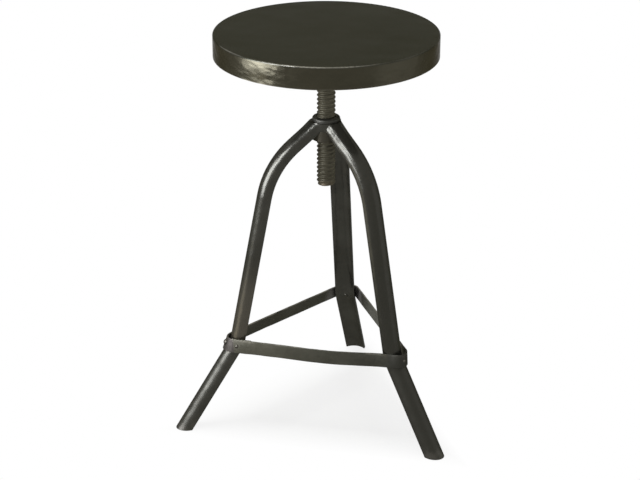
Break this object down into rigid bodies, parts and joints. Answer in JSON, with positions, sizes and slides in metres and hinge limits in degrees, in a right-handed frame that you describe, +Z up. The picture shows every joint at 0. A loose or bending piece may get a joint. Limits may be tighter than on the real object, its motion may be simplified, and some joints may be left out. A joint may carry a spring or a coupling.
{
  "type": "swivel stool",
  "caption": "Tripod metal stool: a round steel-clad seat on a coarse screw rises and sinks as it turns in a hub nut, above pressed-pipe legs with bent shoulders and a flat foot band.",
  "frame": {"origin": "on the floor under the lifting screw", "axes": "+Z up along the screw, +Y towards the rear leg, +X to the right of someone who looks at the front"},
  "size_m": [0.4552, 0.4406, 0.666],
  "materials": {
    "seat_steel": "dark lacquered steel",
    "leg_steel": "dark lacquered steel, unevenly worn",
    "band_steel": "dark lacquered steel, rubbed by feet",
    "screw_steel": "oiled brown steel",
    "weld_steel": "lacquered weld bead",
    "rivet_steel": "dark lacquered steel",
    "plain_steel": "zinc-coated sheet and plate",
    "zinc_steel": "zinc plated",
    "plywood": "raw plywood"
  },
  "bodies": {
    "stand": {"hub_nut": "screw_steel", "leg_rear": "leg_steel", "leg_left": "leg_steel", "leg_right": "leg_steel", "leg_weld_rear": "weld_steel", "leg_weld_left": "weld_steel", "leg_weld_right": "weld_steel", "foot_band": "band_steel", "leg_rivet_rear": "rivet_steel", "leg_rivet_left": "rivet_steel", "leg_rivet_right": "rivet_steel", "band_lap_rivet": "rivet_steel"},
    "collar": {"wear_collar": "leg_steel"},
    "seat": {"seat_top_sheet": "seat_steel", "seat_rim_band": "seat_steel", "seat_core": "plywood", "seat_bottom_sheet": "plain_steel", "seat_flange": "plain_steel", "flange_screws": "zinc_steel", "flange_weld": "weld_steel", "lift_screw": "screw_steel"}
  },
  "joints": [
    {"name": "seat_turn", "type": "hinge", "parent": "stand", "child": "collar", "pos_m": [0, 0, 0.5203], "axis": [0, 0, 1], "range_deg": [-4680, 3420]},
    {"name": "seat_lift", "type": "slide", "parent": "collar", "child": "seat", "axis": [0, 0, 1], "range_m": [-0.0943, 0.0689]}
  ],
  "couplings": [
    {"joint": "seat_lift", "follows": "seat_turn", "m_per_rad": 0.0011539}
  ]
}
